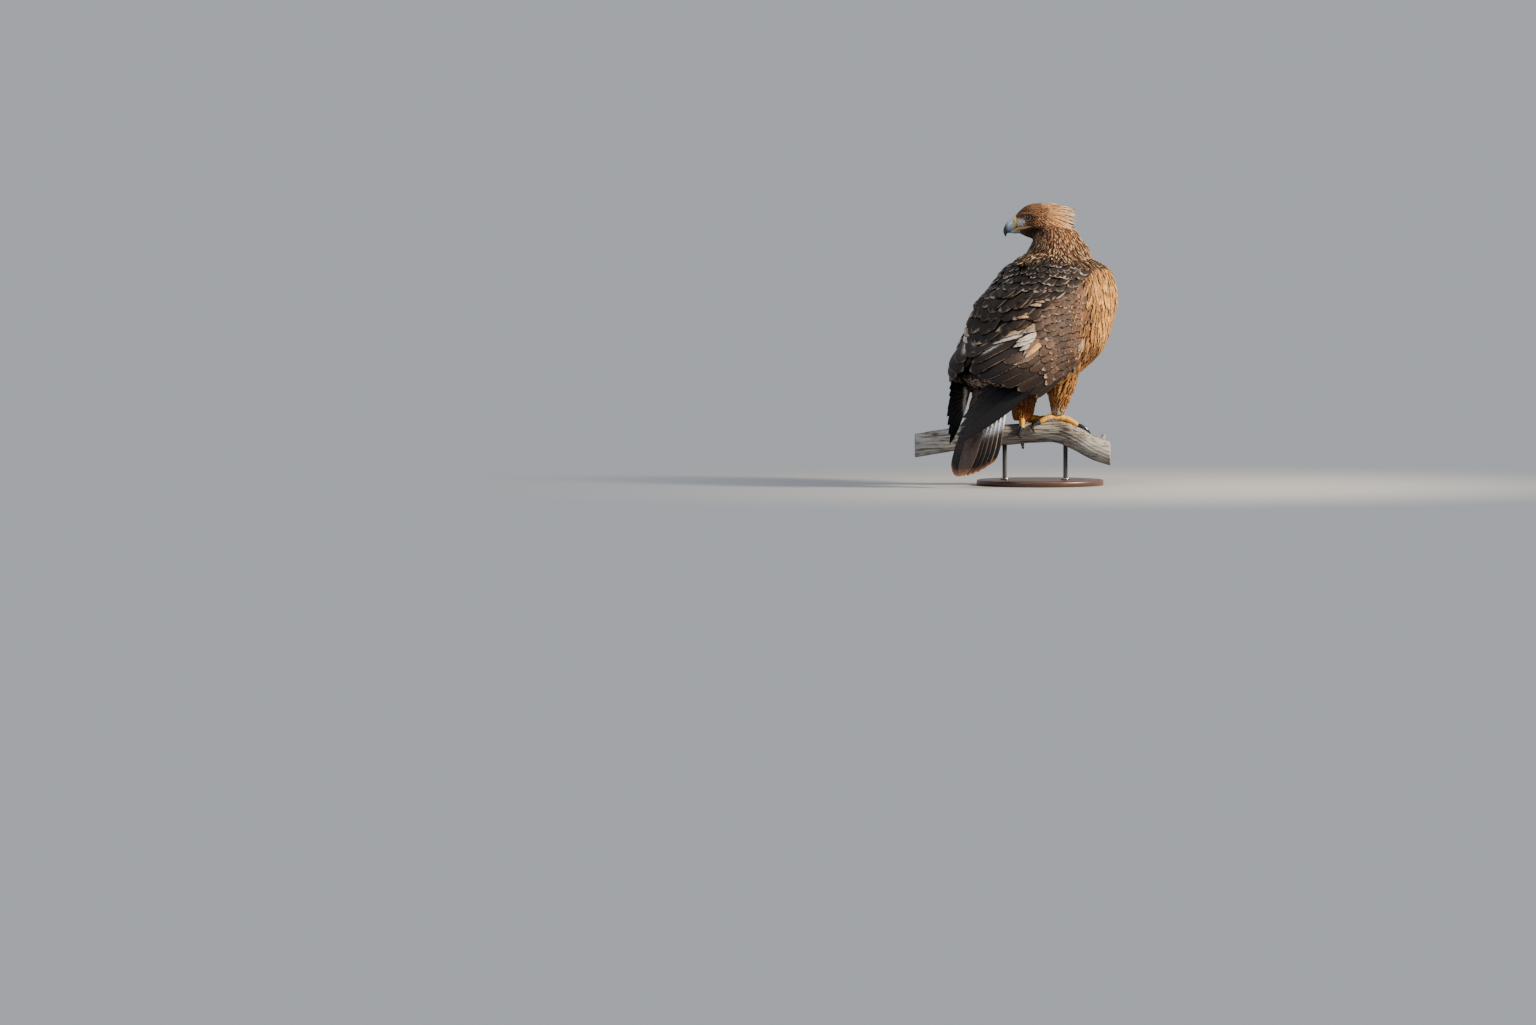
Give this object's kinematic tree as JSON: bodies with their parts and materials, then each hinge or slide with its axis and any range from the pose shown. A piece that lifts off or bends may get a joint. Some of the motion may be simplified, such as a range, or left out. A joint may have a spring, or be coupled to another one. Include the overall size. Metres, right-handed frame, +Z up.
{
  "type": "golden eagle model",
  "caption": "Still life-size golden eagle perched on a cut length of branch, head turned back over its shoulder, on a plain round display stand.",
  "frame": {"origin": "centre of the underside of the round stand, on the floor", "axes": "+Z up; the body faces -Y and its left side is +X; the head looks back towards +X and +Y; the branch runs along the line from (+X, +Y) to (-X, -Y)"},
  "size_m": [0.4174, 0.5313, 0.7338],
  "materials": {
    "plumage": "soft overlapping feathers, golden brown with darker centres",
    "flight_feathers": "smooth dark brown vanes with pale edges, white at the tail's base",
    "hackles": "pointed blond and rusty feathers",
    "bill": "smooth horn, blue-grey at the base and dark at the hook, yellow cere",
    "eye": "wet gloss, dark brown iris",
    "feet": "yellow scaly skin",
    "claws": "polished black horn",
    "perch_wood": "weathered silver-grey bare branch with cracks and lichen",
    "stand_wood": "dark stained, satin",
    "stand_steel": "brushed"
  },
  "bodies": {
    "root": {"torso": "plumage", "tail": "flight_feathers", "neck": "hackles", "head": "hackles", "bill_upper": "bill", "bill_lower": "bill", "eye_left": "eye", "eye_right": "eye", "wing_right": "flight_feathers", "wing_left": "flight_feathers", "leg_right": "plumage", "leg_left": "plumage", "foot_right": "feet", "foot_left": "feet", "claw_right_inner": "claws", "claw_right_middle": "claws", "claw_right_outer": "claws", "claw_right_hallux": "claws", "claw_left_inner": "claws", "claw_left_middle": "claws", "claw_left_outer": "claws", "claw_left_hallux": "claws", "perch": "perch_wood", "stand_base": "stand_wood", "stand_rod_1": "stand_steel", "stand_rod_2": "stand_steel"}
  },
  "joints": []
}
